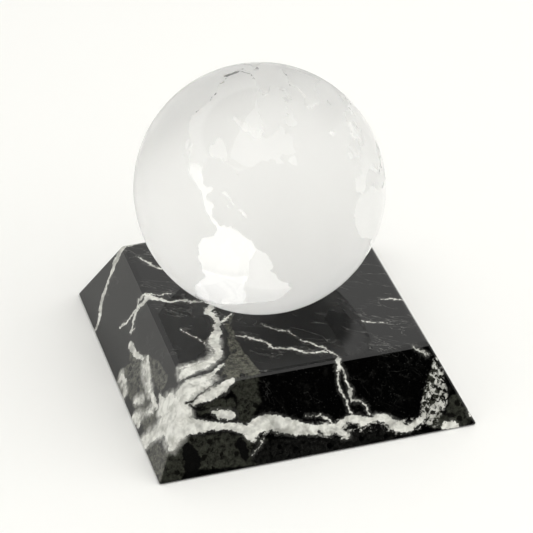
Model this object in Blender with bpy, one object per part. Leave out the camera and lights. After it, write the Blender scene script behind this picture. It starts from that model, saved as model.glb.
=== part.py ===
"""Paperweight: a loose solid glass globe on a polished marble base.

The base is a low square frustum.  A flat-bottomed seat is drilled into its top, a little off
centre, and a rubber ring lies loose in it.  The globe rests on the ring, so it turns by hand
and lifts straight off.  A square of felt lies in a shallow rebate under the base.

Metres, +Z up.  The origin is on the table top, under the middle of the base.  -Y is the front.
Run with: blender --background --python part.py
"""

import math

import bmesh
import bpy

# ---------------------------------------------------------------- driving dimensions (metres)
BASE_SIDE = 0.1000            # marble base across its foot
TOP_SIDE = 0.0755             # marble base across its top
BASE_TOP_Z = 0.0253           # top face above the table
TOP_ARRIS = 0.0010            # width of the polished arris round the top
HIP_ARRIS = 0.0006            # arris down the four sloping corners
FOOT_ARRIS = 0.0004           # arris round the foot

GLOBE_RADIUS = 0.0381         # 3 inch globe
GLOBE_SINK = 0.00145          # how far the globe dips below the top face
SEAT_X, SEAT_Y = -0.0030, 0.0040   # the seat was drilled off centre
SEAT_RADIUS = 0.0115
SEAT_DEPTH = 0.0035

RING_SECTION_RADIUS = 0.0013  # rubber ring's cord
RING_RADIUS = 0.0095          # to the middle of the cord

FELT_SIDE = 0.0920
FELT_CORNER = 0.0030
FELT_THICKNESS = 0.0011
FELT_PROUD = 0.0004           # how far the felt lifts the stone off the table
GAP = 0.0003                  # air left between touching pieces

# ---------------------------------------------------------------- smoothness of round shapes
GLOBE_SEGMENTS, GLOBE_RINGS = 64, 32
SEAT_SEGMENTS = 72
RING_SEGMENTS, CORD_SEGMENTS = 48, 12
CORNER_STEPS = 6

GLOBE_CENTRE_Z = BASE_TOP_Z - GLOBE_SINK + GLOBE_RADIUS
CUTTER_OVERSHOOT = 0.002      # cutters run this far past the face that they open


def clear_scene():
    for leftover in list(bpy.data.objects):
        bpy.data.objects.remove(leftover, do_unlink=True)


def finish_material(name, colour, roughness, metallic=0.0, transmission=0.0):
    """One Principled material with a part's own colour and polish."""
    material = bpy.data.materials.new(name)
    material.use_nodes = True
    shader = material.node_tree.nodes["Principled BSDF"]
    shader.inputs["Base Color"].default_value = (*colour, 1.0)
    shader.inputs["Roughness"].default_value = roughness
    shader.inputs["Metallic"].default_value = metallic
    shader.inputs["Transmission Weight"].default_value = transmission
    return material


def object_from_bmesh(name, shape, material=None):
    """Turn a bmesh into a linked object, with every face pointing outwards."""
    bmesh.ops.recalc_face_normals(shape, faces=shape.faces[:])
    mesh = bpy.data.meshes.new(name)
    shape.to_mesh(mesh)
    shape.free()
    thing = bpy.data.objects.new(name, mesh)
    bpy.context.scene.collection.objects.link(thing)
    if material:
        mesh.materials.append(material)
    return thing


def prism(shape, outline, bottom, top):
    """A closed prism on an XY outline, from one height to another."""
    lower = [shape.verts.new((x, y, bottom)) for x, y in outline]
    upper = [shape.verts.new((x, y, top)) for x, y in outline]
    shape.faces.new(lower[::-1])
    shape.faces.new(upper)
    count = len(outline)
    for i in range(count):
        j = (i + 1) % count
        shape.faces.new((lower[i], lower[j], upper[j], upper[i]))


def circle_outline(radius, steps):
    turn = 2.0 * math.pi / steps
    return [(radius * math.cos(i * turn), radius * math.sin(i * turn)) for i in range(steps)]


def rounded_square(side, corner):
    """A square outline with round corners, anticlockwise."""
    points = []
    middle = side / 2.0 - corner
    for quarter, (sx, sy) in enumerate(((1, 1), (-1, 1), (-1, -1), (1, -1))):
        for step in range(CORNER_STEPS + 1):
            angle = (quarter + step / CORNER_STEPS) * math.pi / 2.0
            points.append((sx * middle + corner * math.cos(angle),
                           sy * middle + corner * math.sin(angle)))
    return points


def cutter(name, outline, bottom, top):
    """A wire-frame prism that a Boolean takes away."""
    shape = bmesh.new()
    prism(shape, outline, bottom, top)
    tool = object_from_bmesh(name, shape)
    tool.hide_render = True
    tool.display_type = "WIRE"
    return tool


def cut(body, tool):
    take_away = body.modifiers.new("cut " + tool.name, "BOOLEAN")
    take_away.operation = "DIFFERENCE"
    take_away.object = tool


# ---------------------------------------------------------------- the marble base
def frustum():
    """The square frustum, with each edge weighted by the width of its arris."""
    shape = bmesh.new()
    corners = ((-1, -1), (1, -1), (1, 1), (-1, 1))
    foot = [shape.verts.new((x * BASE_SIDE / 2, y * BASE_SIDE / 2, FELT_PROUD)) for x, y in corners]
    top = [shape.verts.new((x * TOP_SIDE / 2, y * TOP_SIDE / 2, BASE_TOP_Z)) for x, y in corners]
    shape.faces.new(foot[::-1])
    shape.faces.new(top)
    for i in range(4):
        j = (i + 1) % 4
        shape.faces.new((foot[i], foot[j], top[j], top[i]))
    weight = shape.edges.layers.float.new("bevel_weight_edge")
    for edge in shape.edges:
        heights = {vertex in top for vertex in edge.verts}
        if heights == {True}:
            edge[weight] = 1.0
        elif heights == {False}:
            edge[weight] = FOOT_ARRIS / TOP_ARRIS
        else:
            edge[weight] = HIP_ARRIS / TOP_ARRIS
    return shape


def marble_base():
    stone = finish_material("black veined marble", (0.018, 0.019, 0.018), 0.08)
    base = object_from_bmesh("marble_base", frustum(), stone)
    arris = base.modifiers.new("arrises", "BEVEL")
    arris.limit_method = "WEIGHT"
    arris.offset_type = "WIDTH"
    arris.width = TOP_ARRIS
    arris.segments = 2
    seat = cutter("seat drill", circle_outline(SEAT_RADIUS, SEAT_SEGMENTS),
                  BASE_TOP_Z - SEAT_DEPTH, BASE_TOP_Z + CUTTER_OVERSHOOT)
    seat.location = (SEAT_X, SEAT_Y, 0.0)
    rebate = cutter("felt rebate", rounded_square(FELT_SIDE + 2 * GAP, FELT_CORNER + GAP),
                    FELT_PROUD - CUTTER_OVERSHOOT, FELT_THICKNESS + GAP)
    cut(base, seat)
    cut(base, rebate)
    return base


# ---------------------------------------------------------------- the felt under the base
def felt_pad():
    felt = finish_material("black felt", (0.022, 0.022, 0.024), 0.95)
    shape = bmesh.new()
    prism(shape, rounded_square(FELT_SIDE, FELT_CORNER), 0.0, FELT_THICKNESS)
    return object_from_bmesh("felt_pad", shape, felt)


# ---------------------------------------------------------------- the loose ring in the seat
def ring_height():
    """Height of the cord's middle, so that the cord just clears the globe by the gap."""
    reach = GLOBE_RADIUS + GAP + RING_SECTION_RADIUS
    return GLOBE_CENTRE_Z - math.sqrt(reach ** 2 - RING_RADIUS ** 2)


def seat_ring():
    rubber = finish_material("clear rubber", (0.62, 0.62, 0.60), 0.35, transmission=0.5)
    shape = bmesh.new()
    hoops = []
    for x, y in circle_outline(1.0, RING_SEGMENTS):
        hoops.append([
            shape.verts.new(((RING_RADIUS + out) * x, (RING_RADIUS + out) * y, up))
            for out, up in circle_outline(RING_SECTION_RADIUS, CORD_SEGMENTS)])
    for i in range(RING_SEGMENTS):
        near, far = hoops[i], hoops[(i + 1) % RING_SEGMENTS]
        for k in range(CORD_SEGMENTS):
            m = (k + 1) % CORD_SEGMENTS
            shape.faces.new((near[k], far[k], far[m], near[m]))
    ring = object_from_bmesh("seat_ring", shape, rubber)
    ring.location = (SEAT_X, SEAT_Y, ring_height())
    ring.data.shade_smooth()
    return ring


# ---------------------------------------------------------------- the globe
def globe():
    glass = finish_material("sand-etched glass", (0.93, 0.95, 0.94), 0.3, transmission=1.0)
    shape = bmesh.new()
    bmesh.ops.create_uvsphere(shape, u_segments=GLOBE_SEGMENTS, v_segments=GLOBE_RINGS,
                              radius=GLOBE_RADIUS)
    ball = object_from_bmesh("globe", shape, glass)
    ball.location = (SEAT_X, SEAT_Y, GLOBE_CENTRE_Z)
    ball.data.shade_smooth()
    return ball


def main():
    clear_scene()
    marble_base()
    felt_pad()
    seat_ring()
    globe()


main()
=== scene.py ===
# %% [markdown]
# # A glass globe on a marble base
#
# This paperweight is two heavy things: a solid glass ball with the map of the world etched into
# its skin, and a low pyramid of polished black marble with a shallow seat for the ball. The
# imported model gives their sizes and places. This lesson gives them their real surfaces.

import math
import random

import bpy
import numpy as np
from mathutils import Matrix, Vector
from mathutils.kdtree import KDTree
from mathutils.geometry import delaunay_2d_cdt


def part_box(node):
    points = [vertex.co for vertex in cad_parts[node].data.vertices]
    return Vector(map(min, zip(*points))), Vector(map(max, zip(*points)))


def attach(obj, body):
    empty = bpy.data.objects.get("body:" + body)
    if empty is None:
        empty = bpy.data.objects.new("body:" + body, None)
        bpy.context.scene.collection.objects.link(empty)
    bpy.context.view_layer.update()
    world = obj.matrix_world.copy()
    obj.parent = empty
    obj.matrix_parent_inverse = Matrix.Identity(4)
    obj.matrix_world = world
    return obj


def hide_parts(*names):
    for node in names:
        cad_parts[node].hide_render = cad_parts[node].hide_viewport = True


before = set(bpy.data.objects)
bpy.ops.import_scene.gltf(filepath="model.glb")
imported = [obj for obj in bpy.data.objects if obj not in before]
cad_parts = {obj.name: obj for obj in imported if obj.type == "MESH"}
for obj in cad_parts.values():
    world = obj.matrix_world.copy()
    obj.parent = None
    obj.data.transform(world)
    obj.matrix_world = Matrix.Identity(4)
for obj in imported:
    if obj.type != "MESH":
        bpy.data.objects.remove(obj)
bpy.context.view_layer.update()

# %% [markdown]
# ## Places that everything else is worked out from
#
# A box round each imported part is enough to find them: the foot and the top of the stone, the
# middle of the globe and its radius.

# %% Measure the parts
MM = 0.001
stone_low, stone_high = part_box("marble_base")
globe_low, globe_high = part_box("globe")
ring_low, ring_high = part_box("seat_ring")
felt_low, felt_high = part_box("felt_pad")
GLOBE_CENTRE = (globe_low + globe_high) / 2
GLOBE_RADIUS = (globe_high.z - globe_low.z) / 2
FOOT_HALF = 50 * MM
TOP_HALF = 37.75 * MM
TOP_Z = stone_high.z
FOOT_Z = stone_low.z
print("globe", GLOBE_CENTRE, GLOBE_RADIUS, "stone top", TOP_Z)

# %% [markdown]
# ## The camera
#
# A long lens from the front left, looking down about 35 degrees. The camera is turned by its
# three axes: right, up, and back away from the object.

# %% Set up the camera
CAMERA_AZIMUTH = math.radians(-17.59)
CAMERA_ELEVATION = math.radians(35.46)
CAMERA_ROLL = math.radians(0.69)
CAMERA_DISTANCE = 817.7 * MM
CAMERA_SIDESTEP = -1.4 * MM
CAMERA_RISE = 28.7 * MM
LENS_LENGTH = 175.6       # millimetres, as the lens socket takes them
FILM_WIDTH = 36.0

backwards = Vector((math.sin(CAMERA_AZIMUTH) * math.cos(CAMERA_ELEVATION),
                    -math.cos(CAMERA_AZIMUTH) * math.cos(CAMERA_ELEVATION),
                    math.sin(CAMERA_ELEVATION)))
level = Vector((0, 0, 1)).cross(backwards).normalized()
upright = backwards.cross(level)
rightwards = level * math.cos(CAMERA_ROLL) + upright * math.sin(CAMERA_ROLL)
upwards = upright * math.cos(CAMERA_ROLL) - level * math.sin(CAMERA_ROLL)
camera_data = bpy.data.cameras.new("camera")
camera_data.lens = LENS_LENGTH
camera_data.sensor_width = FILM_WIDTH
camera = bpy.data.objects.new("camera", camera_data)
bpy.context.scene.collection.objects.link(camera)
place = backwards * CAMERA_DISTANCE + rightwards * CAMERA_SIDESTEP + upwards * CAMERA_RISE
camera.matrix_world = Matrix((
    (rightwards.x, upwards.x, backwards.x, place.x),
    (rightwards.y, upwards.y, backwards.y, place.y),
    (rightwards.z, upwards.z, backwards.z, place.z),
    (0, 0, 0, 1)))
bpy.context.scene.camera = camera
bpy.context.scene.view_settings.view_transform = "Standard"
print("camera at", place)

# %% [markdown]
# ## Helpers for modelling and for materials
#
# Operators act on whatever is selected, so each piece starts with nothing selected. A finished
# piece keeps its place in its mesh, so its patterns stay put.


# %% Modelling helpers
def select_only(*things):
    if bpy.context.object and bpy.context.object.mode != "OBJECT":
        bpy.ops.object.mode_set(mode="OBJECT")
    bpy.ops.object.select_all(action="DESELECT")
    for thing in things:
        thing.select_set(True)
        bpy.context.view_layer.objects.active = thing


def added(name):
    """The primitive that an operator has just added, named and placed in its mesh."""
    piece = bpy.context.object
    piece.name = name
    piece.data.name = name
    select_only(piece)
    bpy.ops.object.transform_apply(location=True, rotation=True, scale=True)
    return piece


def edit_points(piece, wanted):
    """Edit mode with just the points chosen whose place passes a test."""
    select_only(piece)
    bpy.ops.object.mode_set(mode="EDIT")
    bpy.ops.mesh.select_mode(type="VERT")
    bpy.ops.mesh.select_all(action="DESELECT")
    bpy.ops.object.mode_set(mode="OBJECT")
    for vertex in piece.data.vertices:
        vertex.select = wanted(vertex.co)
    bpy.ops.object.mode_set(mode="EDIT")


def apply_modifiers(piece):
    select_only(piece)
    for modifier in list(piece.modifiers):
        bpy.ops.object.modifier_apply(modifier=modifier.name)


def finish_piece(piece, body, slot, *nodes):
    """The piece rides on a body and stands for its CAD nodes."""
    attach(piece, body)
    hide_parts(*nodes)
    print(piece.name, len(piece.data.polygons), "faces")


# %% Material helpers
def new_material(name):
    material = bpy.data.materials.new(name)
    material.use_nodes = True
    return material, material.node_tree, material.node_tree.nodes["Principled BSDF"]


def node(tree, kind, label="", inputs=None, **settings):
    """One node, its settings and its unlinked inputs."""
    made = tree.nodes.new(kind)
    made.label = label
    for key, value in settings.items():
        setattr(made, key, value)
    for key, value in (inputs or {}).items():
        if isinstance(value, bpy.types.NodeSocket):
            tree.links.new(value, made.inputs[key])
        else:
            made.inputs[key].default_value = value
    return made


def eased(tree, label, value, start, end, top=1.0):
    """Rises smoothly from 0 to top while the value goes from start to end."""
    return node(tree, "ShaderNodeMapRange", label, {
        "Value": value, "From Min": start, "From Max": end, "To Max": top},
        interpolation_type="SMOOTHSTEP").outputs["Result"]


# %% [markdown]
# ## The floor and the light
#
# The studio is a white sweep with soft light all round, except behind the camera, where the room
# is dark. That dark side is what makes the front of the polished stone look black. Far from the
# object, the floor glows like the backdrop that it rises into, so no horizon shows in the glass.

# %% Floor
FLOOR_SIDE = 16.0
SWEEP_NEAR, SWEEP_FAR = 0.5, 1.8      # metres over which the floor turns into the backdrop
ROOM_EDGE, BACKDROP_EDGE = -0.88, -0.55   # Y of a unit heading, where one gives way to the other
FLOOR_COLOUR = (0.9, 0.9, 0.885, 1)
BACKDROP_COLOUR = (1, 0.995, 0.968, 1)
BLACK = (0, 0, 0, 1)
bpy.ops.mesh.primitive_plane_add(size=FLOOR_SIDE, location=(0, 0, 0))
floor = added("floor")
floor_material, tree, shader = new_material("white sweep")
spot = node(tree, "ShaderNodeTexCoord").outputs["Object"]
span = node(tree, "ShaderNodeVectorMath", inputs={0: spot}, operation="LENGTH").outputs["Value"]
heading = node(tree, "ShaderNodeVectorMath", inputs={0: spot}, operation="NORMALIZE").outputs[0]
to_the_back = node(tree, "ShaderNodeSeparateXYZ", inputs={0: heading}).outputs["Y"]
away = eased(tree, "far from the object", span, SWEEP_NEAR, SWEEP_FAR)
lit = eased(tree, "not towards the dark room", to_the_back, ROOM_EDGE, BACKDROP_EDGE)
glow = node(tree, "ShaderNodeMath", inputs={0: away, 1: lit}, operation="MULTIPLY").outputs[0]
for socket, near_colour, far_colour in (
        ("Base Color", FLOOR_COLOUR, BLACK),
        ("Emission Color", BLACK, BACKDROP_COLOUR)):
    mix = node(tree, "ShaderNodeMix", data_type="RGBA")
    mix.inputs[6].default_value = near_colour
    mix.inputs[7].default_value = far_colour
    tree.links.new(glow, mix.inputs[0])
    tree.links.new(mix.outputs[2], shader.inputs[socket])
shader.inputs["Emission Strength"].default_value = 1.0
shader.inputs["Roughness"].default_value = 0.9
shader.inputs["Specular IOR Level"].default_value = 0.0
floor.data.materials.append(floor_material)

# %% Studio surroundings
BACKDROP_LIGHT = 1.0
ROOM_LIGHT = 0.25
BACKDROP_TOP, BACKDROP_FULL = 0.72, 0.64      # Z of a unit heading, as are the next two
FRONT_DARK, FRONT_LIFTED = 0.35, 0.6
studio = bpy.data.worlds.new("studio")
bpy.context.scene.world = studio
studio.use_nodes = True
tree = studio.node_tree
direction = node(tree, "ShaderNodeTexCoord")
axes = node(tree, "ShaderNodeSeparateXYZ", inputs={0: direction.outputs["Generated"]})
ahead, height = axes.outputs["Y"], axes.outputs["Z"]
behind = eased(tree, "behind the object", ahead, ROOM_EDGE, BACKDROP_EDGE)
low = eased(tree, "below the top of the backdrop", height, BACKDROP_TOP, BACKDROP_FULL)
lifted = eased(tree, "above the dark front", height, FRONT_DARK, FRONT_LIFTED, ROOM_LIGHT)
backdrop = node(tree, "ShaderNodeMath", inputs={0: behind, 1: low}, operation="MULTIPLY").outputs[0]
strength = node(tree, "ShaderNodeMath", inputs={0: backdrop, 1: BACKDROP_LIGHT, 2: lifted},
                operation="MULTIPLY_ADD").outputs[0]
tree.links.new(strength, tree.nodes["Background"].inputs["Strength"])
tree.nodes["Background"].inputs["Color"].default_value = BACKDROP_COLOUR

# %% Soft box
KEY_PLACE = Vector((0.45, -0.45, 1.30))
KEY_SIZE = 2.4
KEY_WATTS = 25.0
KEY_COLOUR = (1, 0.992, 0.965)
key_data = bpy.data.lights.new("soft box", "AREA")
key_data.shape = "SQUARE"
key_data.size = KEY_SIZE
key_data.energy = KEY_WATTS
key_data.color = KEY_COLOUR
key_light = bpy.data.objects.new("soft box", key_data)
bpy.context.scene.collection.objects.link(key_light)
key_light.matrix_world = (Matrix.Translation(KEY_PLACE)
                          @ KEY_PLACE.to_track_quat("Z", "Y").to_matrix().to_4x4())
print("soft box", KEY_WATTS, "W")

# %% [markdown]
# ## The marble
#
# This black marble is a limestone that cracked under ground and healed. White calcite filled
# the cracks, and where the rock was crushed it set again as breccia, grey-green rubble with black
# lumps. So the pattern is not noise all over: every vein has its own course. Each one is drawn
# here as a chain of tapering stretches on the faces of the base, in millimetres, with a half
# width at each point. Veins run round the edges of the block, as they do in real stone.

# %% Places on the faces of the base
SLOPE = (FOOT_HALF - TOP_HALF) / (TOP_Z - FOOT_Z)


def on_face(face, along, up):
    """A place on the stone, from millimetres along a face and up it (or across the top)."""
    along, up = along * MM, up * MM
    out = FOOT_HALF - SLOPE * (up - FOOT_Z)
    return Vector({"front": (along, -out, up), "back": (along, out, up), "left": (-out, along, up),
                   "right": (out, along, up), "top": (along, up, TOP_Z)}[face])


# %% White calcite: bands, thin veins and shards
CALCITE = [
    ("front", [
        (-40, 14.5, 3.0), (-33, 13.8, 1.5), (-28, 13, 1.2), (-24.5, 12, 1.3), (-22, 10.7, 1.8),
        (-19.5, 10.8, 2.2), (-16.5, 11.8, 2.5), (-13, 11.1, 2.5), (-9, 9.8, 2.3), (-5, 8.2, 2.2),
        (-2, 7.3, 1.7), (1, 6.9, 1.7), (4, 6.7, 1.8), (6, 6.8, 1.4), (8, 7.9, 0.9), (10, 8.6, 1.0),
        (12.5, 8.1, 1.4), (14.5, 6.5, 1.0), (16.5, 7.2, 0.8), (19, 7.8, 1.0), (21.5, 6.8, 1.2),
        (23.5, 5, 1.5), (26, 3.4, 1.3), (28.5, 2.8, 1.1), (31, 4, 1.1), (33.5, 5.6, 0.8)]),
    ("front", [(-21, 9, 1.5), (-19.7, 7.7, 0.7)]),
    ("front", [(6.8, 5.6, 0.7), (9.6, 4.2, 0.7), (7.6, 3.8, 0.4)]),
    ("front", [(8.9, 25.3, 0.65), (8.8, 23.3, 0.7), (8, 21, 0.3), (8, 18.5, 0.3), (8.7, 16, 0.35),
               (9.9, 13.5, 0.3), (10.3, 11.5, 0.3), (11.4, 9.8, 0.35)]),
    ("front", [(9, 23.2, 0.45), (10.3, 21.5, 0.25), (10.8, 19, 0.3), (11.5, 17, 0.45),
               (11.5, 15, 0.4), (11.4, 13.6, 0.25), (13.2, 13, 0.3), (14.8, 12.6, 0.25),
               (15.8, 11.3, 0.3), (16.1, 9.8, 0.25), (16.7, 8.5, 0.25)]),
    ("front", [(-3, 11.8, 0.08), (0, 10.9, 0.12), (1.5, 10.9, 0.2), (3.2, 10.1, 0.3),
               (4.3, 9.2, 0.25), (5, 8.3, 0.25)]),
    ("front", [(-21, 4, 0.12), (-18.5, 5.6, 0.2), (-17.5, 7.4, 0.2)]),
    ("front", [(-36.8, 20, 0.5), (-34, 21.1, 1.1), (-30, 22.2, 1.4), (-26.5, 23.5, 1.5),
               (-24.5, 24.7, 1.1)]),
    ("front", [(-31, 17.5, 0.5), (-29, 16.3, 1.2), (-25.8, 15.6, 1.2)]),
    ("front", [(-41, 18, 3.0), (-43, 13.5, 3.0), (-45, 10, 1.5)]),
    ("front", [(-38.5, 23.6, 1.3), (-35, 24.2, 0.9), (-31.5, 25.2, 0.6)]),
    ("front", [(33, 25.3, 0.3), (35, 23.7, 0.45), (36.6, 22, 0.3)]),
    ("front", [(39.5, 2, 0.9), (41.5, 1.8, 1.4), (43.5, 1, 1.0)]),
    ("left", [(37, 25.3, 1.1), (37, 20, 1.3), (35.5, 16, 0.8), (34.8, 12, 0.7), (34, 9.5, 1.2),
              (32, 6.5, 1.1), (30, 4.5, 1.1), (28.7, 3, 0.8), (28.6, 0, 0.7)]),
    ("left", [(8.3, 25.3, 0.7), (9, 23, 0.7), (10.2, 20.5, 0.9), (9.8, 18, 0.8), (8, 15.5, 0.5),
              (7, 14, 0.4), (6.5, 16, 0.2)]),
    ("left", [(10.3, 25.3, 0.5), (12.3, 22, 0.6), (10.6, 20.6, 0.5), (12, 16.5, 0.5),
              (13, 13.5, 0.5), (14.5, 11, 0.4)]),
    ("left", [(-37.5, 25, 2.0), (-37, 21, 3.2), (-39, 16.5, 4.4), (-41, 12.5, 3.4),
              (-44, 11.5, 1.8)]),
    ("left", [(-33, 17, 2.8), (-31.5, 13.5, 2.3), (-26, 14.2, 0.8)]),
    ("left", [(-36, 11, 3.4), (-35, 7.5, 1.9), (-32.5, 4, 1.7), (-30.5, 0.3, 2.1)]),
    ("left", [(-28, 11.3, 0.7), (-25, 11.6, 1.2), (-21.8, 11.8, 0.9)]),
    ("left", [(-18.8, 11.6, 1.0), (-14, 13.7, 1.2), (-9.5, 15.6, 1.1)]),
    ("left", [(-6.5, 13.9, 0.8), (-2, 12.4, 1.1), (4, 11.7, 1.3)]),
    ("left", [(-27.5, 9.3, 0.4), (-24.5, 8.3, 0.7)]),
    ("left", [(-23, 2, 1.1), (-19.5, 2.2, 1.2), (-18, 0.8, 0.8)]),
    ("left", [(-19, 7, 0.5), (-16, 5.5, 0.8), (-14.5, 4, 0.5)]),
    ("left", [(-7.5, 0.5, 0.8), (-6, 2.8, 0.9)]),
    ("left", [(-3.5, 4.5, 0.8), (-0.5, 3.3, 1.1), (0, 1.5, 0.7)]),
    ("top", [(-37.7, 9, 1.2), (-35, 7.4, 0.9), (-33, 5.5, 0.7), (-31, 4.2, 0.5), (-28, 4, 0.5),
             (-25.5, 3, 0.45), (-23, 2, 0.4), (-21, 0.8, 0.35), (-19, -1.5, 0.6)]),
    ("top", [(-37.7, 10.6, 0.4), (-34, 8.6, 0.2), (-30, 8.4, 0.1)]),
    ("top", [(-19.5, -1, 0.8), (-22, -4, 1.2), (-20.5, -6.5, 0.8), (-20.3, -10, 1.1),
             (-21.3, -14, 1.1), (-23.5, -17, 1.7), (-24.5, -20, 1.7), (-24, -24, 1.4),
             (-25.5, -26.5, 1.5), (-28.5, -28.3, 1.2), (-31.5, -29.8, 1.4), (-35, -30.8, 1.7),
             (-37.7, -31.5, 1.7)]),
    ("top", [(-15, -7, 0.3), (-18, -9, 0.5), (-20, -10, 0.5)]),
    ("top", [(-37.7, -28.2, 0.3), (-34, -28.2, 0.4), (-31, -27.5, 0.2)]),
    ("top", [(-37.7, -35.4, 0.9), (-34, -36.2, 1.1), (-30, -35, 0.9), (-27, -32, 0.6),
             (-24.5, -30.5, 0.5)]),
    ("top", [(-17, -17.7, 0.4), (-14, -19, 0.4), (-12, -21.5, 0.5), (-9.5, -23.5, 0.4),
             (-8, -27, 0.4), (-5, -28, 0.5), (-2, -29, 0.5), (0, -31, 0.4), (3, -32.5, 0.4),
             (6.5, -33.2, 0.4)]),
    ("top", [(1, -25.5, 0.2), (3.5, -27.5, 0.3), (5, -30, 0.3), (7, -31.5, 0.35), (8, -34, 0.35),
             (9.4, -36.5, 0.4), (9.2, -37.7, 0.5)]),
    ("top", [(-8, -14.5, 0.1), (-7, -16, 0.25), (-4, -18.5, 0.3), (-1, -20.5, 0.3),
             (0.3, -24, 0.1)]),
    ("top", [(-32, -10, 0.15), (-29, -15, 0.2), (-27, -19, 0.2), (-26.5, -24, 0.2)]),
    ("top", [(-34.5, 30, 0.3), (-33, 27.5, 0.35), (-32, 25, 0.4), (-30.5, 23, 0.4),
             (-28.5, 21, 0.3), (-22, 20, 0.2)]),
    ("top", [(-37.7, 37.5, 0.9), (-33, 37.6, 0.5)]),
    ("top", [(31.5, -12.5, 0.25), (34, -13.5, 0.3), (37.7, -14.8, 0.25)]),
    ("top", [(22, -21.5, 0.12), (25, -23, 0.16), (29, -24.5, 0.12)]),
    ("top", [(37.7, 22, 0.5), (31, 24, 0.6), (22, 30, 0.5), (14, 37.7, 0.6)]),
    ("right", [(-49, 3, 0.6), (-44, 5, 1.0), (-38, 4, 0.6), (-30, 7, 0.8), (-24, 6, 0.4),
               (-15, 9, 0.5), (-8, 8, 0.2)]),
    ("right", [(-14.8, 25.3, 0.25), (-16, 20, 0.3), (-13, 14, 0.25), (-15, 9, 0.3)]),
    ("right", [(22, 25.3, 0.5), (24, 20, 0.7), (23, 14, 0.9), (27, 8, 0.8), (26, 0, 0.9)]),
    ("right", [(24, 13, 0.3), (30, 11, 0.3), (36, 12, 0.2)]),
    ("back", [(14, 25.3, 0.6), (11, 19, 0.8), (13, 13, 1.2), (8, 7, 1.4), (9, 0, 1.2)]),
    ("back", [(8, 7, 1.0), (0, 6, 0.7), (-9, 8.5, 0.9), (-18, 6, 0.5), (-27, 9, 0.3)]),
    ("back", [(-37.5, 25.3, 0.9), (-36, 17, 0.4), (-31, 12, 0.3), (-27, 9, 0.3), (-25, 0, 0.3)]),
    ("back", [(32, 22, 0.2), (26, 17, 0.3), (22, 16, 0.2)]),
]
print("calcite stretches:", sum(len(chain) - 1 for _, chain in CALCITE))

# %% Clouds, speckled patches, crushed rock, black lumps, and cracks through the white
CLOUDS = [
    ("front", [(-41.5, 18, 3.0), (-43, 13.5, 3.4), (-45, 10, 1.8)]),
    ("left", [(-38, 25, 2.2), (-37.5, 20.5, 4.0), (-39, 16.5, 5.0), (-42, 12, 4.0)]),
    ("left", [(-33, 16.5, 3.4), (-31, 13, 2.8)]),
    ("left", [(-36, 11, 4.4), (-34, 7, 2.6), (-31.5, 3.5, 2.4), (-30, 0.3, 2.6)]),
    ("left", [(-25.5, 9.5, 1.6), (-23, 6, 1.0), (-20, 2.5, 2.0)]),
    ("left", [(-18, 7.5, 1.0), (-15, 5, 1.2)]),
    ("left", [(-20, 11.5, 1.6), (-14, 12.5, 2.0), (-9, 13.5, 1.6)]),
    ("left", [(-6, 2, 1.4), (0, 3.5, 1.4)]),
    ("top", [(-37, -30, 2.6), (-31, -29.5, 1.8), (-26, -26.5, 1.6), (-24, -19, 1.6)]),
    ("top", [(-37, -36.5, 2.0), (-30, -36, 1.6)]),
    ("front", [(-37, 23.5, 1.8), (-31, 24.5, 1.2)]),
]

SPECKLED = [
    ("front", [(39.8, 19.8, 1.0), (38.9, 15.5, 2.5), (38.2, 11.5, 3.9), (36.8, 7.5, 4.0),
               (36, 4.5, 2.6)]),
    ("front", [(-1, 7.2, 2.0), (4, 6.4, 2.4), (10, 7, 2.1), (15, 6.4, 2.0), (20, 6.6, 2.1),
               (25, 3.6, 2.0), (31, 3.8, 2.0)]),
    ("front", [(-20.5, 9.5, 2.2), (-16, 9.5, 1.2)]),
    ("top", [(-21.5, -3, 1.4), (-19, -7.5, 1.6), (-18.5, -10, 1.2)]),
]

BRECCIA = [
    ("front", [(-21, 24.5, 4.0), (-19.5, 19, 3.4), (-21.5, 15.5, 2.8)]),
    ("front", [(-26, 18.5, 2.0), (-30, 19, 1.4), (-35, 18, 1.0)]),
    ("front", [(-47, 3, 4.5), (-43, 7, 4.4), (-37, 7, 5.0), (-30, 6.5, 5.2), (-24, 5, 4.5),
               (-18, 4, 4.0)]),
    ("front", [(38.9, 19, 0.9), (38.3, 15.5, 2.0), (37.5, 11.5, 3.2), (36.5, 7.5, 3.4),
               (37, 4, 2.6), (40, 3.5, 1.5)]),
    ("front", [(44, 8, 2.2), (44.5, 4, 3.5), (46.5, 2, 2)]),
    ("left", [(-24, 17.5, 2.8), (-17, 16.8, 2.8), (-11, 15, 2.4), (-5, 12.5, 2), (0, 10.5, 1.8)]),
    ("left", [(-26, 8, 5), (-18, 8, 5.5), (-10, 8, 5), (-4, 5.5, 4.5), (0, 3, 2.5)]),
    ("left", [(-47, 4, 4.5), (-41, 3.5, 4), (-36, 2, 2)]),
    ("top", [(-19, -19, 1.0), (-18.8, -25, 1.7), (-20, -31, 4), (-21, -36, 5.5)]),
    ("top", [(-16, -8.5, 0.7), (-17.5, -12, 0.8), (-18.5, -18, 0.8)]),
    ("right", [(-46, 4, 4.0), (-40, 3, 3.5), (-33, 2, 2.5)]),
    ("back", [(6, 3, 3.5), (0, 2.5, 3.0), (-8, 3, 2.5)]),
]

RUBBLE = [
    ("front", [(-18, 4, 3.6), (-10, 3, 3.6), (0, 1.8, 2.8), (8, 1.8, 2.4), (16, 3.5, 2.6),
               (22, 2.5, 1.8)]),
]

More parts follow.
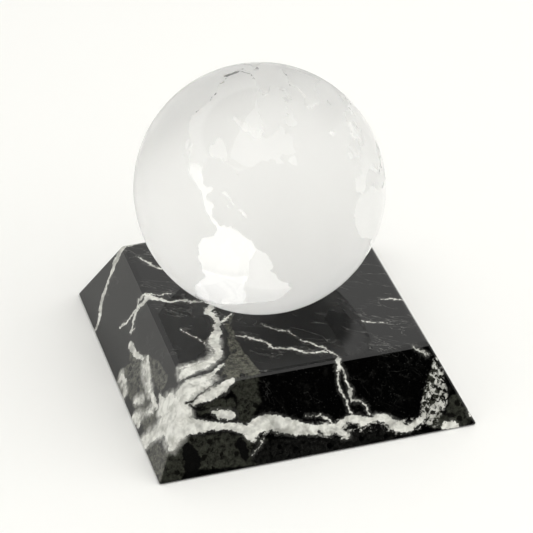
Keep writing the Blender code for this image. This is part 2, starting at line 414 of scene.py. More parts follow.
LUMPS = [
    ("front", [(-40.2, 8.8, 1.5), (-39, 5.5, 2.1), (-39.8, 2.2, 1.7)]),
    ("front", [(-24.3, 8, 1.0), (-23.3, 5.5, 1.5), (-23.2, 3.2, 0.7)]),
    ("front", [(0.6, 6.3, 0.5), (1.3, 5.8, 0.4)]),
    ("front", [(9.5, 6.2, 0.6), (12, 5.8, 0.4)]),
    ("front", [(17.5, 5.3, 0.9), (20, 4.8, 0.8)]),
    ("front", [(-39.2, 21, 0.45), (-37.3, 20.9, 0.3), (-34, 22.5, 0.15), (-30.5, 24.2, 0.15),
               (-28.5, 25.2, 0.2)]),
    ("front", [(-38.3, 20.2, 0.25), (-37, 18.9, 0.4), (-34.5, 18.3, 0.35), (-31.5, 18.8, 0.15)]),
    ("top", [(-37.3, -34, 0.35), (-31, -33.6, 0.3)]),
    ("top", [(-22.5, -23, 0.5), (-21.8, -26, 0.4), (-23, -28.5, 0.3)]),
]

# %% [markdown]
# ### Distance to a drawn line
#
# The shader measures how far a place is from each tapering stretch and keeps the least. That is
# exact at any zoom. Before measuring, the place is pushed about a little by noise, so that every
# straight stretch becomes a natural, ragged line.


# %% Node groups for the stone
def new_group(name, inputs, outputs):
    group = bpy.data.node_groups.new(name, "ShaderNodeTree")
    for socket, kind in inputs:
        group.interface.new_socket(socket, in_out="INPUT", socket_type="NodeSocket" + kind)
    for socket, kind in outputs:
        group.interface.new_socket(socket, in_out="OUTPUT", socket_type="NodeSocket" + kind)
    given = group.nodes.new("NodeGroupInput").outputs
    wanted = group.nodes.new("NodeGroupOutput").inputs
    return group, given, wanted


stretch, given, result = new_group(
    "drawn stretch",
    [("So Far", "Float"), ("Place", "Vector"), ("Start", "Vector"), ("Run", "Vector"),
     ("Run Scaled", "Vector"), ("Half Width", "Float"), ("Widening", "Float")],
    [("Nearest", "Float"), ("Place", "Vector")])
offset = node(stretch, "ShaderNodeVectorMath", inputs={0: given["Place"], 1: given["Start"]},
              operation="SUBTRACT")
share = node(stretch, "ShaderNodeVectorMath", inputs={0: offset.outputs[0], 1: given["Run Scaled"]},
             operation="DOT_PRODUCT")
held = node(stretch, "ShaderNodeMath", inputs={0: share.outputs["Value"], 1: 0.0},
            operation="ADD", use_clamp=True)
reached = node(stretch, "ShaderNodeVectorMath", inputs={0: given["Run"], "Scale": held.outputs[0]},
               operation="SCALE")
away = node(stretch, "ShaderNodeVectorMath", inputs={0: offset.outputs[0], 1: reached.outputs[0]},
            operation="DISTANCE")
half = node(stretch, "ShaderNodeMath",
            inputs={0: held.outputs[0], 1: given["Widening"], 2: given["Half Width"]},
            operation="MULTIPLY_ADD")
edge = node(stretch, "ShaderNodeMath", inputs={0: away.outputs["Value"], 1: half.outputs[0]},
            operation="SUBTRACT")
least = node(stretch, "ShaderNodeMath", inputs={0: given["So Far"], 1: edge.outputs[0]},
             operation="MINIMUM")
stretch.links.new(least.outputs[0], result["Nearest"])
# The place is handed on through the result, by far less than an atom, so that the renderer
# works the stretches one after another and never has to hold all of them at once.
handed = node(stretch, "ShaderNodeVectorMath",
              inputs={0: least.outputs[0], 1: (1e-12, 1e-12, 1e-12), 2: given["Place"]},
              operation="MULTIPLY_ADD")
stretch.links.new(handed.outputs[0], result["Place"])


FACES = {name: (Vector(outwards).normalized(), on_face(name, 0, 20 if name != "top" else 0))
         for name, outwards in {
             "front": (0, -1, SLOPE), "back": (0, 1, SLOPE), "left": (-1, 0, SLOPE),
             "right": (1, 0, SLOPE), "top": (0, 0, 1)}.items()}
REACH = 1.5 * MM


def drawn(name, drawing, face):
    """A group that gives the distance from a place on a face to the nearest edge drawn there."""
    group, given, result = new_group(name, [("Place", "Vector")], [("Distance", "Float")])
    outwards, middle = FACES[face]
    place, so_far = given["Place"], None
    for drawn_on, chain in drawing:
        spots = [(on_face(drawn_on, along, up), half * MM) for along, up, half in chain]
        for (start, half_start), (end, half_end) in zip(spots, spots[1:]):
            depth = min(abs(outwards.dot(start - middle)), abs(outwards.dot(end - middle)))
            if depth > max(half_start, half_end) + REACH:
                continue
            run = end - start
            step = node(group, "ShaderNodeGroup", node_tree=stretch, inputs={
                "So Far": so_far or 1.0, "Place": place, "Start": start, "Run": run,
                "Run Scaled": run / run.length_squared, "Half Width": half_start,
                "Widening": half_end - half_start})
            place, so_far = step.outputs["Place"], step.outputs["Nearest"]
    if so_far:
        group.links.new(so_far, result["Distance"])
    else:
        result["Distance"].default_value = 1.0
    return group


def mask(tree, distance, edge, soft):
    """1 inside an edge distance, 0 outside it, blurred over a soft width."""
    return node(tree, "ShaderNodeMapRange", inputs={
        "Value": distance, "From Min": edge + soft, "From Max": edge - soft},
        interpolation_type="SMOOTHSTEP").outputs["Result"]


def noise(tree, place, size, detail=3.0, roughness=0.55, distortion=0.0):
    """Noise with features of about a size, round a middle value of 0.5."""
    made = node(tree, "ShaderNodeTexNoise", inputs={
        "Vector": place, "Scale": 1 / size, "Detail": detail, "Roughness": roughness,
        "Distortion": distortion})
    return made.outputs


def ranged(tree, value, low, high, out_low=0.0, out_high=1.0):
    """Stretches a value's range, clamped at both ends."""
    return node(tree, "ShaderNodeMapRange", inputs={
        "Value": value, "From Min": low, "From Max": high, "To Min": out_low,
        "To Max": out_high}).outputs["Result"]


def blend_colours(tree, share, first, second):
    made = node(tree, "ShaderNodeMix", data_type="RGBA")
    for value, socket in (
            (share, made.inputs[0]), (first, made.inputs[6]), (second, made.inputs[7])):
        if isinstance(value, bpy.types.NodeSocket):
            tree.links.new(value, socket)
        else:
            socket.default_value = value
    return made.outputs[2]


def sum_up(tree, operation, *values, clamp=False):
    made = node(tree, "ShaderNodeMath", operation=operation, use_clamp=clamp)
    for value, socket in zip(values, made.inputs):
        if isinstance(value, bpy.types.NodeSocket):
            tree.links.new(value, socket)
        else:
            socket.default_value = value
    return made.outputs[0]


# %% Ragged places
ragged_place, given, result = new_group(
    "ragged place", [("Place", "Vector"), ("Size", "Float"), ("Push", "Float")],
    [("Place", "Vector")])
scaled = node(ragged_place, "ShaderNodeVectorMath", inputs={0: given["Place"]}, operation="SCALE")
each = node(ragged_place, "ShaderNodeMath", inputs={0: 1.0, 1: given["Size"]}, operation="DIVIDE")
ragged_place.links.new(each.outputs[0], scaled.inputs["Scale"])
cloud = node(ragged_place, "ShaderNodeTexNoise", inputs={
    "Vector": scaled.outputs[0], "Scale": 1.0, "Detail": 4.0, "Roughness": 0.6})
centred = node(ragged_place, "ShaderNodeVectorMath", inputs={
    0: cloud.outputs["Color"], 1: (0.5, 0.5, 0.5)}, operation="SUBTRACT")
pushed = node(ragged_place, "ShaderNodeVectorMath", inputs={0: centred.outputs[0]},
              operation="SCALE")
ragged_place.links.new(given["Push"], pushed.inputs["Scale"])
moved = node(ragged_place, "ShaderNodeVectorMath", inputs={0: given["Place"], 1: pushed.outputs[0]},
             operation="ADD")
ragged_place.links.new(moved.outputs[0], result["Place"])


def raggedly(tree, place, size, push):
    made = node(tree, "ShaderNodeGroup", node_tree=ragged_place)
    tree.links.new(place, made.inputs["Place"])
    made.inputs["Size"].default_value = size
    made.inputs["Push"].default_value = push
    return made.outputs["Place"]


# %% Colours of the stone
BLACK_GROUND = (0.0008, 0.0008, 0.0008, 1)
SMOKE = (0.012, 0.012, 0.011, 1)
BRECCIA_DARK = (0.005, 0.005, 0.004, 1)
BRECCIA_LIGHT = {"front": (0.040, 0.042, 0.033, 1), "left": (0.13, 0.13, 0.105, 1),
                 "top": (0.13, 0.13, 0.10, 1), "right": (0.06, 0.06, 0.05, 1),
                 "back": (0.06, 0.06, 0.05, 1)}
HAIRLINES = {"front": 0.018, "left": 0.05, "top": 0.12, "right": 0.05, "back": 0.05}
RUBBLE_LIGHT = (0.012, 0.012, 0.011, 1)
LUMP_BLACK = (0.003, 0.003, 0.003, 1)
CALCITE_GREY = (0.46, 0.46, 0.42, 1)
CALCITE_WHITE = (0.80, 0.80, 0.75, 1)


# %% The black marble, one finish for each face
def black_marble(face):
    """The marble as seen on one face, whose drawing is measured flat on that face."""
    material, tree, shader = new_material("black marble " + face)
    outwards, middle = FACES[face]
    place = node(tree, "ShaderNodeTexCoord").outputs["Object"]

    def flattened(where):
        """A pushed place, set back down on the face."""
        off = node(tree, "ShaderNodeVectorMath", inputs={0: where, 1: middle}, operation="SUBTRACT")
        rise = node(tree, "ShaderNodeVectorMath", inputs={0: off.outputs[0], 1: outwards},
                    operation="PROJECT")
        return node(tree, "ShaderNodeVectorMath", inputs={0: where, 1: rise.outputs[0]},
                    operation="SUBTRACT").outputs[0]

    wavy = flattened(raggedly(tree, raggedly(tree, place, 5 * MM, 3.0 * MM), 1.2 * MM, 1.5 * MM))

    def edge_of(what, drawing):
        group = drawn(what + " on the " + face, drawing, face)
        return node(tree, "ShaderNodeGroup", node_tree=group, inputs={"Place": wavy}).outputs[0]

    def both(first, second):
        return sum_up(tree, "MULTIPLY", first, second)

    # black ground: smoky wisps, hairlines that run one way, and fine specks
    smoky = ranged(tree, noise(tree, place, 5 * MM, 6.0, 0.7, 0.8)["Fac"], 0.55, 0.85)
    colour = blend_colours(tree, smoky, BLACK_GROUND, SMOKE)
    patchy = ranged(tree, noise(tree, place, 9 * MM, 2.0)["Fac"], 0.45, 0.62)
    for turn in (-0.45, -0.75):
        along = node(tree, "ShaderNodeMapping", vector_type="TEXTURE", inputs={
            "Vector": place, "Rotation": (0, 0, turn), "Scale": (5.0, 1.0, 1.6)}).outputs[0]
        wander = noise(tree, along, 5 * MM, 5.0, 0.5, 0.4)["Fac"]
        off_middle = sum_up(tree, "ABSOLUTE", sum_up(tree, "SUBTRACT", wander, 0.5))
        hairline = both(both(ranged(tree, off_middle, 0.008, 0.001), patchy), HAIRLINES[face])
        colour = blend_colours(tree, hairline, colour, CALCITE_WHITE)
    specks = ranged(tree, noise(tree, place, 0.55 * MM, 2.0, 0.6)["Fac"], 0.66, 0.74, 0.0, 0.035)
    colour = blend_colours(tree, specks, colour, CALCITE_WHITE)

    # breccia and rubble: mottled, with black grains and small black lumps
    mottled = ranged(tree, noise(tree, place, 1.3 * MM, 6.0, 0.75, 0.3)["Fac"], 0.38, 0.64)
    cells = node(tree, "ShaderNodeTexVoronoi", inputs={
        "Vector": raggedly(tree, place, 1.5 * MM, 1.5 * MM), "Scale": 1 / (2.6 * MM)})
    cell_kind = node(tree, "ShaderNodeSeparateColor", inputs={0: cells.outputs["Color"]}).outputs[0]
    black_cell = both(ranged(tree, cell_kind, 0.30, 0.26),
                      ranged(tree, cells.outputs["Distance"], 0.42, 0.30))
    mottled = both(mottled, sum_up(tree, "SUBTRACT", 1.0, black_cell))
    crushed = mask(tree, edge_of("breccia", BRECCIA), 0.0, 0.5 * MM)
    colour = blend_colours(tree, crushed, colour,
                           blend_colours(tree, mottled, BRECCIA_DARK, BRECCIA_LIGHT[face]))
    rubble = mask(tree, edge_of("rubble", RUBBLE), 0.0, 0.6 * MM)
    colour = blend_colours(tree, rubble, colour,
                           blend_colours(tree, mottled, BLACK_GROUND, RUBBLE_LIGHT))

    # calcite: clouds, speckles, then the clean white
    streaky = ranged(tree, noise(tree, place, 3.0 * MM, 4.0, 0.6, 0.5)["Fac"], 0.35, 0.6)
    calcite = blend_colours(tree, streaky, CALCITE_GREY, CALCITE_WHITE)
    cloud_body = mask(tree, edge_of("clouds", CLOUDS), 0.2 * MM, 1.6 * MM)
    cloudy = both(cloud_body, ranged(tree, noise(tree, place, 2.4 * MM, 5.0, 0.6)["Fac"],
                                     0.34, 0.56, 0.25, 0.9))
    colour = blend_colours(tree, cloudy, colour, calcite)
    grainy = ranged(tree, noise(tree, place, 1.4 * MM, 4.0, 0.65, 0.5)["Fac"], 0.49, 0.58,
                    0.0, 0.75)
    speckled = both(mask(tree, edge_of("speckled", SPECKLED), 0.0, 0.5 * MM), grainy)
    colour = blend_colours(tree, speckled, colour, calcite)
    frayed = ranged(tree, noise(tree, place, 0.8 * MM, 4.0, 0.65)["Fac"], 0.3, 0.7,
                    -0.30 * MM, 0.42 * MM)
    calcite_edge = sum_up(tree, "ADD", edge_of("calcite", CALCITE), frayed)
    milky = mask(tree, calcite_edge, 0.5 * MM, 0.7 * MM)
    colour = blend_colours(tree, both(milky, 0.05), colour, CALCITE_WHITE)
    faded = ranged(tree, noise(tree, place, 4 * MM, 2.0)["Fac"], 0.35, 0.55, 0.6, 1.0)
    healed = both(mask(tree, calcite_edge, -0.02 * MM, 0.12 * MM), faded)
    colour = blend_colours(tree, healed, colour, calcite)
    lumps = mask(tree, edge_of("lumps", LUMPS), 0.0, 0.25 * MM)
    colour = blend_colours(tree, both(lumps, 0.95), colour, LUMP_BLACK)
    tree.links.new(colour, shader.inputs["Base Color"])
    shader.inputs["IOR"].default_value = 1.40
    polish = ranged(tree, noise(tree, place, 12 * MM, 3.0, 0.6)["Fac"], 0.3, 0.7, 0.04, 0.08)
    tree.links.new(polish, shader.inputs["Roughness"])
    print(material.name, len(tree.nodes), "nodes")
    return material


# %% [markdown]
# ### The block
#
# The base is sawn as a low pyramid without a point, its arrises are rubbed down, and a shallow
# seat is drilled in the top for the ball's ring. A square of the foot is cut back for the felt.
# The block is modelled in that order: a cube whose top is drawn in, weighted bevels, then cuts.

# %% Model the block
TOP_ARRIS, HIP_ARRIS, FOOT_ARRIS = 1.0 * MM, 0.6 * MM, 0.4 * MM
SEAT_RADIUS, SEAT_DEPTH = 11.5 * MM, 3.5 * MM
FELT_HALF = (felt_high.x - felt_low.x) / 2
FELT_TOP = felt_high.z
FELT_CORNER = 3.0 * MM
AIR = 0.3 * MM

select_only()
bpy.ops.mesh.primitive_cube_add(
    size=1, location=(0, 0, (FOOT_Z + TOP_Z) / 2),
    scale=(2 * FOOT_HALF, 2 * FOOT_HALF, TOP_Z - FOOT_Z))
block = added("marble_block")
edit_points(block, lambda place: place.z > TOP_Z - MM)
draw_in = TOP_HALF / FOOT_HALF
bpy.ops.transform.resize(value=(draw_in, draw_in, 1), center_override=(0, 0, TOP_Z))
bpy.ops.object.mode_set(mode="OBJECT")
weights = block.data.attributes.new("bevel_weight_edge", "FLOAT", "EDGE")
for edge in block.data.edges:
    high = [block.data.vertices[i].co.z > TOP_Z - MM for i in edge.vertices]
    arris = TOP_ARRIS if all(high) else HIP_ARRIS if any(high) else FOOT_ARRIS
    weights.data[edge.index].value = arris / TOP_ARRIS
rub = block.modifiers.new("arrises", "BEVEL")
rub.width = TOP_ARRIS
rub.limit_method = "WEIGHT"
rub.segments = 2
apply_modifiers(block)


def cut_away(body, tool):
    cut = body.modifiers.new("cut", "BOOLEAN")
    cut.operation = "DIFFERENCE"
    cut.object = tool
    apply_modifiers(body)
    bpy.data.objects.remove(tool)


select_only()
bpy.ops.mesh.primitive_cylinder_add(
    vertices=96, radius=SEAT_RADIUS, depth=2 * SEAT_DEPTH,
    location=(GLOBE_CENTRE.x, GLOBE_CENTRE.y, TOP_Z))
cut_away(block, added("seat drill"))
select_only()
bpy.ops.mesh.primitive_cube_add(
    size=1, location=(0, 0, FELT_TOP + AIR - 2 * MM),
    scale=(2 * (FELT_HALF + AIR), 2 * (FELT_HALF + AIR), 4 * MM))
rebate = added("rebate cutter")
corner_weights = rebate.data.attributes.new("bevel_weight_edge", "FLOAT", "EDGE")
for edge in rebate.data.edges:
    start, end = (rebate.data.vertices[i].co for i in edge.vertices)
    corner_weights.data[edge.index].value = float(abs(start.z - end.z) > MM)
rounding = rebate.modifiers.new("round corners", "BEVEL")
rounding.width = FELT_CORNER + AIR
rounding.limit_method = "WEIGHT"
rounding.segments = 6
apply_modifiers(rebate)
cut_away(block, rebate)

# %% Each face of the block gets its own drawing
block.data.materials.clear()
for name in FACES:
    block.data.materials.append(black_marble(name))
for polygon in block.data.polygons:
    facing = {name: outwards.dot(polygon.normal) for name, (outwards, _) in FACES.items()}
    polygon.material_index = list(FACES).index(max(facing, key=facing.get))
finish_piece(block, "base", "marble", "marble_base")


# %% [markdown]
# ## The felt underneath
#
# A square of pressed wool is glued into the rebate, so that the stone doesn't scratch a desk.
# Felt has no weave: its short fibres are matted in every direction. The pad is a thin block with
# its rim rounded and its faces pressed unevenly, and loose fibres lie over the underside.

# %% Model the felt
PRESSED = 0.12 * MM       # deepest hollow in the felt
FIBRES = 1800
FIBRE_RADIUS = 0.016 * MM

select_only()
bpy.ops.mesh.primitive_cube_add(size=1, location=(0, 0, FELT_TOP / 2),
                                scale=(2 * FELT_HALF, 2 * FELT_HALF, FELT_TOP))
felt = added("table_felt")
select_only(felt)
bpy.ops.object.mode_set(mode="EDIT")
bpy.ops.mesh.select_mode(type="EDGE")
bpy.ops.mesh.select_all(action="DESELECT")
bpy.ops.object.mode_set(mode="OBJECT")
for edge in felt.data.edges:
    start, end = (felt.data.vertices[i].co for i in edge.vertices)
    edge.select = abs(start.z - end.z) < MM / 10
bpy.ops.object.mode_set(mode="EDIT")
bpy.ops.mesh.subdivide(number_cuts=110)
bpy.ops.object.mode_set(mode="OBJECT")
straight = FELT_HALF - FELT_CORNER
for vertex in felt.data.vertices:
    past = Vector((max(abs(vertex.co.x) - straight, 0), max(abs(vertex.co.y) - straight, 0)))
    if past.x > 0 and past.y > 0:
        past *= max(past) / past.length
        vertex.co.x = math.copysign(straight + past.x, vertex.co.x)
        vertex.co.y = math.copysign(straight + past.y, vertex.co.y)
rim = felt.modifiers.new("rounded rim", "BEVEL")
rim.width = 0.3 * MM
rim.segments = 3
rim.angle_limit = math.radians(50)
matting = bpy.data.textures.new("matting", "CLOUDS")
matting.noise_scale = 1.6 * MM
matting.noise_depth = 3
lumps = felt.modifiers.new("matting", "DISPLACE")
lumps.texture = matting
lumps.texture_coords = "LOCAL"
lumps.mid_level = 1.0
lumps.strength = PRESSED
apply_modifiers(felt)
bpy.ops.object.shade_smooth_by_angle(angle=math.radians(50))

chance = random.Random(5)
strands = bpy.data.curves.new("felt_fibres", "CURVE")
strands.dimensions = "3D"
strands.bevel_depth = FIBRE_RADIUS
strands.bevel_resolution = 0
strands.use_fill_caps = True
for _ in range(FIBRES):
    spot = Vector((chance.uniform(-1, 1), chance.uniform(-1, 1), 0)) * (straight - MM)
    heading, bend = chance.uniform(0, 2 * math.pi), chance.uniform(-0.6, 0.6)
    strand = strands.splines.new("POLY")
    strand.points.add(5)
    for point in strand.points:
        height = chance.uniform(1.5, 4.0) * FIBRE_RADIUS
        point.co = (spot.x, spot.y, height, 1)
        spot += Vector((math.cos(heading), math.sin(heading), 0)) * 0.35 * MM
        heading += bend
fibres = bpy.data.objects.new("felt_fibres", strands)
bpy.context.scene.collection.objects.link(fibres)
select_only(fibres)
bpy.ops.object.convert(target="MESH")
select_only(fibres, felt)
bpy.ops.object.join()
felt = bpy.context.object

# %% Felt material
wool, tree, shader = new_material("black wool felt")
place = node(tree, "ShaderNodeTexCoord").outputs["Object"]
matted = noise(tree, raggedly(tree, place, 1.5 * MM, 1.2 * MM), 0.25 * MM, 5.0, 0.7, 1.5)["Fac"]
worn = ranged(tree, noise(tree, place, 14 * MM, 3.0)["Fac"], 0.45, 0.7)
colour = blend_colours(tree, ranged(tree, matted, 0.35, 0.68), (0.010, 0.010, 0.011, 1),
                       (0.045, 0.044, 0.046, 1))
colour = blend_colours(tree, sum_up(tree, "MULTIPLY", worn, 0.35), colour, (0.06, 0.057, 0.055, 1))
tree.links.new(colour, shader.inputs["Base Color"])
shader.inputs["Roughness"].default_value = 0.95
shader.inputs["Specular IOR Level"].default_value = 0.2
shader.inputs["Sheen Weight"].default_value = 0.3
nap = node(tree, "ShaderNodeBump", inputs={
    "Height": matted, "Distance": 0.08 * MM, "Strength": 0.7})
tree.links.new(nap.outputs["Normal"], shader.inputs["Normal"])
felt.data.materials.clear()
felt.data.materials.append(wool)
finish_piece(felt, "base", "felt", "felt_pad")

# %% [markdown]
# ## The ring in the seat
#
# The ball would chatter on bare stone, so a ring of clear rubber cord lies loose between them. It
# comes out of a two-part mould, which leaves a fine raised line round the outside.

# %% Model the ring
CORD_RADIUS = (ring_high.z - ring_low.z) / 2
HOOP_RADIUS = (ring_high.x - ring_low.x) / 2 - CORD_RADIUS
PARTING_LINE = 0.04 * MM
ring_centre = (ring_low + ring_high) / 2
select_only()
bpy.ops.mesh.primitive_torus_add(
    location=ring_centre, major_segments=144, minor_segments=32,
    major_radius=HOOP_RADIUS, minor_radius=CORD_RADIUS)
ring = added("rubber_ring")
outside = HOOP_RADIUS + CORD_RADIUS
edit_points(ring, lambda place: (place.xy - ring_centre.xy).length > outside - MM / 100)
swell = (outside + PARTING_LINE) / outside
bpy.ops.transform.resize(value=(swell, swell, 1), center_override=ring_centre)
bpy.ops.object.mode_set(mode="OBJECT")
bpy.ops.object.shade_smooth_by_angle(angle=math.radians(30))

# %% Ring material
rubber, tree, shader = new_material("clear rubber")
place = node(tree, "ShaderNodeTexCoord").outputs["Object"]
dusty = noise(tree, place, 1.8 * MM, 4.0, 0.65)["Fac"]
tree.links.new(blend_colours(tree, ranged(tree, dusty, 0.4, 0.7), (0.66, 0.66, 0.64, 1),
                             (0.52, 0.52, 0.49, 1)), shader.inputs["Base Color"])
tree.links.new(ranged(tree, dusty, 0.35, 0.7, 0.28, 0.45), shader.inputs["Roughness"])
shader.inputs["Transmission Weight"].default_value = 0.5
shader.inputs["IOR"].default_value = 1.42
skin = node(tree, "ShaderNodeBump", inputs={
    "Height": noise(tree, place, 0.3 * MM, 3.0)["Fac"], "Distance": 0.01 * MM, "Strength": 0.5})
tree.links.new(skin.outputs["Normal"], shader.inputs["Normal"])
ring.data.materials.clear()
ring.data.materials.append(rubber)
finish_piece(ring, "ring", "ring_rubber", "seat_ring")


# %% [markdown]
# ## The map
#
# The coasts are lists of longitude and latitude. Most of those on the near side, and the west of
# Australia and Java on the far side, were picked by eye on the real ball, worked out by a helper
# program and rounded. The others follow general geography. Real coasts are ragged at every
# scale, so a small random wobble is added between the points, always the same one.

